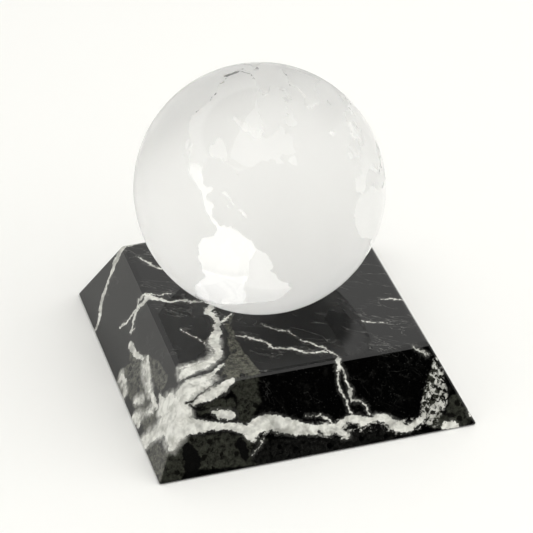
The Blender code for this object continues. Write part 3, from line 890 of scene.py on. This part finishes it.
# %% Coastlines
LAND = {
    "americas": [
        (-161, 50.5), (-163.5, 53), (-168, 57), (-173.5, 59.5), (-165, 61.5), (-161, 63.5),
        (-150, 66), (-138, 66.5), (-132, 67), (-126.5, 66.5), (-116, 64), (-106.5, 62.5),
        (-101.5, 61), (-95, 59.5), (-88.5, 57.5), (-84.5, 55.5), (-80, 52.5), (-77, 55),
        (-76, 58), (-77, 61.5), (-72, 61), (-69, 58.5), (-64.5, 60), (-60, 56), (-56, 52.5),
        (-60, 50.5), (-66, 50), (-69, 48), (-64.5, 49.5), (-64.5, 47), (-61, 46), (-65.5, 44.5),
        (-67, 46), (-70.5, 45), (-70.5, 43.5), (-74, 43), (-76, 40.5), (-76.5, 38.5),
        (-79.5, 36.5), (-82, 34), (-81, 31.5), (-83.5, 33), (-87, 33.7), (-90, 33.5), (-91.5, 33),
        (-93.5, 33), (-96, 32.8), (-98, 31.5), (-100, 30.3), (-99, 26.5), (-98, 24.5),
        (-96.5, 22.7), (-94, 20.7), (-91, 20), (-88, 21.5), (-87.8, 19), (-89, 17), (-87.5, 15.5),
        (-85, 16), (-83, 15), (-83.2, 13), (-82, 10.5), (-78.6, 9.5), (-76.5, 8.3), (-75, 10.2),
        (-73.2, 10), (-71.8, 11.5), (-71.5, 10.3), (-70.2, 10.8), (-68.5, 10.5), (-64, 9.2),
        (-61, 9), (-58.5, 6.5), (-55, 5.6), (-51.7, 4.6), (-49.5, 2.6), (-47.5, -0.2),
        (-48, -2.7), (-43.5, -5), (-41, -7), (-37, -7.6), (-33.6, -10.6), (-34.5, -14),
        (-35.5, -18), (-37, -22), (-42, -24.6), (-46, -27), (-49, -30), (-52.5, -34), (-57, -37),
        (-60, -40), (-63, -43), (-65, -46), (-67, -49), (-68.5, -52), (-66, -55), (-70, -56),
        (-75, -52.5), (-76, -47.5), (-75.5, -43), (-76, -38), (-76.5, -33), (-75, -28),
        (-73.7, -23.4), (-73, -21), (-77, -15), (-79.5, -10), (-81.8, -5.7), (-81.5, -3.7),
        (-81, -1), (-78, 2), (-77, 4.6), (-77, 6.6), (-79.3, 7.9), (-81, 8.4), (-84.5, 10.5),
        (-88, 13.5), (-90.3, 15.6), (-92.3, 17.5), (-96, 17.9), (-100.3, 18.7), (-104, 20.2),
        (-107, 23.2), (-110.6, 26.4), (-117.3, 29.8), (-121, 30.8), (-126, 33), (-128.3, 34.8),
        (-129.2, 37), (-129.7, 40), (-130.3, 42.5), (-131.7, 45), (-136, 47.5), (-140.5, 49),
        (-146, 50), (-149.5, 51), (-151.5, 52), (-158.5, 51)],
    "baja": [
        (-116.5, 28), (-113.5, 25.3), (-111, 22.4), (-110.3, 23), (-112.5, 26), (-115.5, 28.8)],
    "greenland": [
        (-162, 80.8), (164.5, 83), (142, 84.7), (101, 86.9), (47.5, 85.8), (-2.5, 82.2),
        (-21.5, 80.2), (-35, 79.4), (-47, 76.5), (-53, 76.6), (-66.5, 82.8), (-100, 84.5),
        (-129, 83.5), (-138, 81.4)],
    "baffin": [
        (-62, 66.5), (-66, 62.5), (-72, 63.5), (-78, 65), (-74, 68), (-81, 70), (-86, 71.5),
        (-72, 71)],
    "ellesmere": [
        (-129, 75.6), (-125, 79), (-98, 78.6), (-85, 77.2), (-88, 76), (-100, 77), (-115, 77)],
    "devon": [(-104, 74), (-98, 76), (-85, 74.6), (-92, 73.6)],
    "banks": [
        (-130, 67.3), (-117, 67.2), (-114, 68.6), (-122, 71.8), (-134, 73), (-125, 71.4),
        (-121.8, 68.9)],
    "newfoundland": [(-52.8, 47), (-55.8, 46.9), (-59.3, 47.7), (-57, 51.3), (-53.8, 49.3)],
    "cuba": [
        (-83.7, 22), (-81.6, 23.2), (-78, 22.1), (-74.3, 20.2), (-75.7, 19.9), (-77.5, 21),
        (-80.5, 21.8)],
    "hispaniola": [
        (-72.6, 19.5), (-69.8, 19.5), (-66.3, 17.6), (-68, 17.5), (-71, 17.9), (-72.8, 18.6)],
    "jamaica": [(-78.3, 18.2), (-77.5, 18.5), (-76.3, 18.1), (-77.3, 17.8)],
    "iceland": [(-22.5, 64), (-24, 65.6), (-20, 65.8), (-16, 66.4), (-13.8, 65), (-18.5, 63.5)],
    "svalbard": [(11, 79.5), (16, 77), (20, 78.5), (26, 80), (18, 80)],
    "britain": [
        (-5.5, 50.1), (1.2, 51.2), (1.6, 52.8), (-1.5, 55), (-3, 57.7), (-5, 58.6), (-5.8, 56.5),
        (-3.2, 54.5), (-4.7, 52.2), (-2.9, 51.4)],
    "ireland": [(-10, 51.6), (-6.2, 52.2), (-6, 54), (-7.5, 55.3), (-10, 54.2)],
    "eurasia": [
        (32.3, 31.2), (34.4, 31.3), (35.8, 35), (36, 36.7), (33, 36.1), (30.5, 36.5),
        (27.5, 36.8), (26.5, 39.5), (29, 41), (32, 41.8), (36, 41.4), (41, 41.2), (38, 44.6),
        (37.5, 46.8), (35, 46.1), (33.7, 44.4), (32.5, 46), (30.5, 46.3), (28.8, 44.5),
        (27.8, 42.4), (28.8, 41.2), (26, 40.8), (23.2, 40.2), (24, 37.8), (22.5, 36.5),
        (21, 38.5), (19.3, 41.5), (15.5, 43.8), (13.6, 45.4), (12.4, 44.5), (16, 41.8),
        (18.3, 40), (17, 39.8), (16, 38), (14.5, 40.5), (10.5, 43), (8.8, 44.4), (5.5, 43.2),
        (3.1, 42.8), (0, 39.8), (-0.6, 37.8), (-2.2, 36.8), (-5.6, 36.1), (-8.9, 37),
        (-9.3, 39.5), (-8.9, 43.2), (-1.8, 43.5), (-1.3, 46), (-4.6, 48.3), (-1.5, 48.8),
        (-1.6, 49.7), (1.6, 50.6), (4.2, 52), (8.3, 53.7), (8.3, 57), (10.5, 57.7), (10, 55),
        (12.5, 54.3), (18.5, 54.7), (21, 56.5), (23.5, 58.5), (28, 59.6), (23, 60), (21.3, 61),
        (25, 65), (21.5, 64.5), (17.3, 62), (18.7, 60), (16.5, 57), (14.2, 55.4), (12.8, 55.6),
        (11.2, 58.5), (9.5, 59), (6, 58.2), (5, 61), (9.5, 63.7), (14.5, 68), (20, 69.8),
        (26, 71), (31, 70.3), (41, 67.5), (40, 66.3), (34, 66.8), (35.5, 64.3), (40, 64.7),
        (44, 66), (46, 68), (54, 68.4), (60.5, 68.8), (68.5, 68.5), (67, 71), (69.5, 73),
        (74, 71.5), (73, 67.8), (77.5, 72.2), (87, 75), (104, 77.6), (113, 75.5), (113, 73.8),
        (128, 72.5), (140, 72.5), (152, 71), (160, 69.7), (170, 70), (180, 69), (190, 66.2),
        (186, 64.5), (179, 64.6), (177.5, 62.5), (170.5, 60), (163.5, 60), (162, 56.2), (157, 51),
        (156, 57), (163, 62), (157, 61.6), (143, 59.3), (135.5, 54.7), (141, 53), (140.5, 48.5),
        (135, 44), (131.5, 43), (127.5, 39.8), (129.4, 37), (129, 35.2), (126.4, 34.5),
        (126.7, 37.5), (125, 39.5), (121.3, 39), (121.5, 40.8), (118, 39), (122.3, 37),
        (119.3, 35), (121.8, 31.5), (121.5, 28.5), (118.5, 24.8), (114, 22.5), (110.5, 20.5),
        (108.3, 21.6), (106, 19), (109, 13), (107.5, 10.5), (104.9, 8.7), (105, 10.4),
        (102.5, 12), (100.5, 13.4), (99.5, 10.5), (102, 6.3), (103.5, 4), (104.2, 1.4),
        (101.3, 3), (100.3, 6), (98.4, 8.2), (98.5, 13), (97, 17), (94.3, 16), (94, 19.5),
        (91.5, 22.6), (87.5, 21.6), (82.3, 16.6), (80.1, 15), (80, 11.5), (77.5, 8.1), (75.5, 12),
        (73, 17), (72.7, 21), (70.5, 20.9), (69, 22.5), (66.8, 25), (61.5, 25.1), (57.3, 25.8),
        (56, 27), (51.5, 28), (48.7, 30.2), (50.2, 26.5), (51.4, 24.5), (54.5, 24.2),
        (56.3, 26.2), (59.8, 22.5), (57.7, 19), (52.2, 15.6), (45, 12.8), (43, 13.3), (42.3, 17),
        (39, 21.5), (35, 28), (34.3, 29.4), (33.5, 28.5), (32.6, 29.9)],
    "africa": [
        (32.3, 31.2), (29, 30.9), (25, 31.6), (20, 32.3), (19.5, 30.4), (15.3, 32.2), (11, 33.6),
        (10.2, 34.3), (11, 37), (5, 36.8), (-2, 35.1), (-5.9, 35.8), (-8.6, 33.5), (-10.4, 30),
        (-11.7, 26.7), (-10.6, 23.8), (-9, 20.7), (-6.9, 17.4), (-4, 14.7), (0, 13.5), (4, 12),
        (8, 10), (10, 5), (9.4, 0.5), (11.8, -4.8), (13.5, -9.5), (12.5, -13.5), (11.8, -17.2),
        (14.5, -22.5), (15.3, -27), (18.3, -34), (20, -34.8), (25.7, -34), (30.8, -30.5),
        (32.9, -26), (35.5, -24), (35, -20), (40.6, -15.5), (40.5, -11), (39, -6.5), (41.5, -1.8),
        (47, 3.8), (51.3, 11.8), (44, 10.5), (43.2, 12.4), (39.5, 15.5), (37.2, 19.5), (35.5, 24),
        (32.6, 29.9)],
    "madagascar": [
        (49.3, -12), (50.4, -15.7), (47.2, -25), (44, -24.8), (43.5, -22), (44.5, -16.2),
        (47.5, -15)],
    "ceylon": [(80, 9.6), (81.8, 7.2), (80.6, 6), (79.8, 7.5)],
    "sumatra": [
        (95.4, 5.6), (98.5, 3.8), (103.5, -0.8), (106, -3.2), (105.7, -5.8), (101, -2.8),
        (98.6, 1.6)],
    "java": [
        (115.9, -8.4), (117, -7.9), (118.2, -8.3), (119.4, -7.8), (120.6, -7.8), (121.3, -7.8),
        (121.4, -8.3), (120.5, -8.6), (119.3, -9), (118.2, -8.8), (117, -9.3), (116, -9.1)],
    "borneo": [
        (109.2, 1.2), (111.3, 2.5), (115, 5), (117, 7), (119.2, 5.2), (117.6, 2), (116.4, -1.5),
        (114.5, -2.2), (110.3, -1.8)],
    "celebes": [(120.4, -1.6), (122, -0.6), (125, 1.5), (120.2, 0.8), (119.6, -0.8)],
    "new guinea": [
        (131, -0.8), (134, -0.8), (135, -3.2), (138, -1.6), (144.5, -3.8), (147.8, -6),
        (150.8, -10.6), (147, -9.5), (143.5, -8.7), (138, -8.2), (138, -5.5), (133, -4),
        (132, -2.8)],
    "luzon": [
        (120.3, 16), (120.7, 18.5), (122.2, 18.4), (121.6, 15.8), (124, 12.7), (120.8, 13.8)],
    "mindanao": [(122, 7), (125.5, 9.8), (126.5, 7.5), (125.5, 5.8), (124, 7)],
    "taiwan": [(120.1, 23), (121.5, 25.2), (121.9, 24.8), (120.8, 22)],
    "honshu": [
        (130.9, 34), (136, 35.7), (137, 37.3), (140, 39.5), (141, 41.4), (142, 39.5),
        (140.8, 35.7), (138.8, 34.7), (135.8, 33.6), (132.5, 34.1)],
    "kyushu": [(129.8, 33), (131, 33.8), (131.8, 32.5), (130.7, 31.2)],
    "hokkaido": [(140.2, 41.6), (141.6, 45.3), (145.3, 43.6), (143.2, 42.1)],
    "sakhalin": [(142, 46.1), (142.3, 54), (143.5, 50), (143.3, 46.5)],
    "australia": [
        (107.4, -26.2), (110, -23.5), (115, -19), (120.1, -14.4), (122.7, -11.5), (123.8, -13.6),
        (122.9, -15.6), (126, -17.5), (129.5, -15), (132, -11.4), (136.8, -12.1), (135.6, -15),
        (139.5, -17.6), (141.5, -14), (142.5, -10.8), (145.3, -15), (146.5, -19), (150.8, -23.2),
        (153.5, -28), (151, -34), (150, -37.4), (146.3, -39), (143.5, -38.7), (140, -37.5),
        (138.2, -34.5), (135.8, -34.8), (131.2, -33), (124, -34.5), (118, -36), (110, -37),
        (106.5, -33), (106.3, -28.9)],
    "tasmania": [(144.7, -40.8), (148.2, -40.9), (147.8, -43.2), (146, -43.5)],
    "north new zealand": [
        (172.8, -34.5), (175.5, -36.8), (178.4, -37.8), (176.9, -39.6), (175.2, -41.5),
        (173.8, -39.3), (174.7, -37.5)],
    "south new zealand": [
        (172.7, -40.6), (174.2, -41.7), (171, -44.8), (168.5, -46.6), (166.6, -45.8),
        (170.7, -42.7)],
    "novaya zemlya": [(52, 71), (57.5, 70.7), (60, 73.5), (68.5, 76.5), (60, 75.8), (54, 73)],
    "antarctica": [
        (-179, -78.3), (-158, -77.5), (-148, -76), (-135, -74.5), (-115, -74), (-101, -72.5),
        (-90, -72.8), (-75, -72.5), (-68, -69), (-64, -65), (-57.5, -63.3), (-61, -67),
        (-62, -73), (-64, -76), (-50, -78), (-36, -78), (-25, -74.5), (-12, -71.5), (10, -70),
        (35, -69), (45, -67.8), (54, -66), (68, -68), (73, -70), (80, -68), (95, -66.3),
        (110, -66.2), (125, -66.4), (135, -66), (145, -67), (155, -69.2), (168, -71.2),
        (166, -77.5)],
}
LAKES = {
    "caspian": [
        (47, 45), (51, 46.8), (53, 45.2), (51, 44.3), (53.5, 40), (54, 37.2), (50.2, 37.4),
        (49.5, 40.3)],
}

# %% Draw the coast on a unit ball
COAST_STEP = 0.011        # radians between coast points
COAST_WOBBLE = 0.16       # sideways wobble, as a share of each stretch
FAR_SIDE_DROP = 15.0      # degrees
wobble = random.Random(7)


def far_side_drop(longitude):
    """How far south the stencil sat on the far side of the ball."""
    def ease(low, high):
        share = min(max((longitude % 360 - low) / (high - low), 0), 1)
        return share * share * (3 - 2 * share)
    return FAR_SIDE_DROP * ease(40, 95) * (1 - ease(150, 200))


def on_ball(longitude, latitude):
    lon, lat = math.radians(longitude), math.radians(latitude - far_side_drop(longitude))
    return Vector((math.cos(lat) * math.cos(lon), math.cos(lat) * math.sin(lon), math.sin(lat)))


def ragged(start, end):
    """The points after start up to end, each half-way point pushed sideways at random."""
    length = (end - start).length
    if length < COAST_STEP:
        return [end]
    side = start.cross(end).normalized()
    middle = ((start + end) / 2 + side * wobble.uniform(-1, 1) * length * COAST_WOBBLE).normalized()
    return ragged(start, middle) + ragged(middle, end)


def coast(outline):
    corners = [on_ball(*point) for point in outline]
    points = []
    for i, corner in enumerate(corners):
        points += ragged(corner, corners[(i + 1) % len(corners)])
    return points


coasts = {name: coast(outline) for name, outline in {**LAND, **LAKES}.items()}
print(len(coasts), "coasts,", sum(len(c) for c in coasts.values()), "points")

# %% [markdown]
# ## The ball's mesh
#
# The ball's triangles must break exactly along the coasts. A stereographic projection flattens
# the whole ball but the south pole, and keeps circles as circles, so triangles that are well
# shaped in the plane are well shaped on the ball. Blender's constrained triangulation then
# takes the coasts as fixed edges. The south pole lies in the middle of a continent, where a small
# fan closes the ball.

# %% Triangulate
BALL_POINTS = 15000
SOUTH_CAP = -0.9990       # height of the closing ring, as a share of the radius
CAP_POINTS = 16
CLEARANCE = 0.011         # radians kept between a filling point and the coast


def flatten(p):
    return Vector((p.x, p.y)) / (1 + p.z)


def unflatten(q):
    r2 = q.x * q.x + q.y * q.y
    return Vector((2 * q.x, 2 * q.y, 1 - r2)) / (1 + r2)


def spiral(count):
    """Evenly spread points on the unit ball."""
    golden = math.pi * (3 - math.sqrt(5))
    for i in range(count):
        z = 1 - (2 * i + 1) / count
        r = math.sqrt(1 - z * z)
        yield Vector((r * math.cos(i * golden), r * math.sin(i * golden), z))


points, edges = [], []
for outline in coasts.values():
    first = len(points)
    points += outline
    edges += [(first + i, first + (i + 1) % len(outline)) for i in range(len(outline))]
near_coast = KDTree(len(points))
for i, point in enumerate(points):
    near_coast.insert(point, i)
near_coast.balance()
cap_radius = math.sqrt(1 - SOUTH_CAP ** 2)
cap = [Vector((cap_radius * math.cos(a), cap_radius * math.sin(a), SOUTH_CAP))
       for a in (2 * math.pi * i / CAP_POINTS for i in range(CAP_POINTS))]
fill = [p for p in spiral(BALL_POINTS)
        if p.z > SOUTH_CAP + 0.001 and near_coast.find(p)[2] > CLEARANCE]
flat = [flatten(p) for p in points + cap + fill]
verts, _, faces, _, _, _ = delaunay_2d_cdt(flat, edges, [], 0, 1e-7)
ball = [unflatten(v) for v in verts]
rim = sorted((i for i, p in enumerate(ball) if abs(p.z - SOUTH_CAP) < 1e-5),
             key=lambda i: math.atan2(ball[i].y, ball[i].x))
pole = len(ball)
ball.append(Vector((0, 0, -1)))
faces = [tuple(f) for f in faces]
fan = [(rim[(i + 1) % len(rim)], rim[i], pole) for i in range(len(rim))]
print(len(ball), "points,", len(faces) + len(fan), "triangles, rim", len(rim))


# %% Which triangles are land
def inside(outline, places):
    """Even-odd test of flat places against a flat outline."""
    ring = np.array([flatten(p) for p in outline])
    result = np.zeros(len(places), bool)
    low, high = ring.min(0), ring.max(0)
    near = np.where(((places >= low) & (places <= high)).all(1))[0]
    x, y = places[near, 0], places[near, 1]
    crossed = np.zeros(len(near), bool)
    for (x0, y0), (x1, y1) in zip(ring, np.roll(ring, -1, axis=0)):
        if y0 == y1:
            continue
        crossed ^= ((y0 > y) != (y1 > y)) & (x < (x1 - x0) * (y - y0) / (y1 - y0) + x0)
    result[near] = crossed
    return result


flat_verts = np.array([tuple(v) for v in verts])
middles = np.array([flat_verts[list(f)].mean(0) for f in faces])
land = ~inside(coasts["antarctica"], middles)
for name in LAND:
    if name != "antarctica":
        land |= inside(coasts[name], middles)
for name in LAKES:
    land &= ~inside(coasts[name], middles)
land = list(land) + [True] * len(fan)
faces += fan
print("land share of triangles:", round(sum(land) / len(land), 3))

# %% [markdown]
# ## Placing and etching the ball
#
# The ball lies in its seat as someone last left it, so the map's pole leans over. The seas were
# masked round and blasted with sand, which leaves them a little lower than the polished land.
# Insetting the sea as one region, with a small depth, gives that step.

# %% Build the globe
POLE_LEAN = math.radians(21.15)
POLE_TOWARDS = math.radians(-18.6)
MAP_TURN = math.radians(-34.5)
ETCH_DEPTH = 0.02 * MM
ETCH_SLOPE = 0.12 * MM
SMOOTH_BELOW = math.radians(25)
GLASS_LAND, GLASS_SEA = 0, 1
GLASS_IOR = 1.5

turn = (Matrix.Rotation(POLE_TOWARDS, 3, "Z") @ Matrix.Rotation(POLE_LEAN, 3, "Y")
        @ Matrix.Rotation(MAP_TURN, 3, "Z"))
mesh = bpy.data.meshes.new("etched_globe")
mesh.from_pydata([GLOBE_CENTRE + turn @ (p * GLOBE_RADIUS) for p in ball], [], faces)
globe = bpy.data.objects.new("etched_globe", mesh)
bpy.context.scene.collection.objects.link(globe)
glass_kinds = [GLASS_LAND if is_land else GLASS_SEA for is_land in land]
mesh.polygons.foreach_set("material_index", glass_kinds)
select_only(globe)
bpy.ops.object.mode_set(mode="EDIT")
bpy.ops.mesh.select_all(action="SELECT")
bpy.ops.mesh.normals_make_consistent(inside=False)
bpy.ops.mesh.select_all(action="DESELECT")
bpy.ops.object.mode_set(mode="OBJECT")
sea = np.array([p.material_index == GLASS_SEA for p in mesh.polygons])
mesh.polygons.foreach_set("select", sea)
bpy.ops.object.mode_set(mode="EDIT")
bpy.ops.mesh.select_mode(type="FACE")
bpy.ops.mesh.inset(thickness=ETCH_SLOPE, depth=-ETCH_DEPTH, use_boundary=True)
bpy.ops.object.mode_set(mode="OBJECT")
bpy.ops.object.shade_smooth_by_angle(angle=SMOOTH_BELOW)

# %% Glass finishes
polished, tree, shader = new_material("polished glass")
place = node(tree, "ShaderNodeTexCoord").outputs["Object"]
handled = noise(tree, raggedly(tree, place, 6 * MM, 5 * MM), 3 * MM, 5.0, 0.65)["Fac"]
tree.links.new(ranged(tree, handled, 0.5, 0.8, 0.0, 0.05), shader.inputs["Roughness"])
shader.inputs["Base Color"].default_value = (1, 1, 1, 1)
shader.inputs["Transmission Weight"].default_value = 1.0
shader.inputs["IOR"].default_value = GLASS_IOR
etched, tree, shader = new_material("etched glass")
place = node(tree, "ShaderNodeTexCoord").outputs["Object"]
grain = noise(tree, place, 0.16 * MM, 3.0, 0.7)["Fac"]
blasted = noise(tree, place, 5 * MM, 4.0, 0.6)["Fac"]
tree.links.new(ranged(tree, blasted, 0.3, 0.7, 0.60, 0.70), shader.inputs["Roughness"])
tree.links.new(blend_colours(tree, ranged(tree, grain, 0.3, 0.7), (0.96, 0.96, 0.955, 1),
                             (1, 1, 0.995, 1)), shader.inputs["Base Color"])
shader.inputs["Transmission Weight"].default_value = 0.85
shader.inputs["IOR"].default_value = GLASS_IOR
pitted = node(tree, "ShaderNodeBump", inputs={
    "Height": grain, "Distance": 0.004 * MM, "Strength": 0.5})
tree.links.new(pitted.outputs["Normal"], shader.inputs["Normal"])
mesh.materials.append(polished)
mesh.materials.append(etched)
finish_piece(globe, "globe", "glass", "globe")
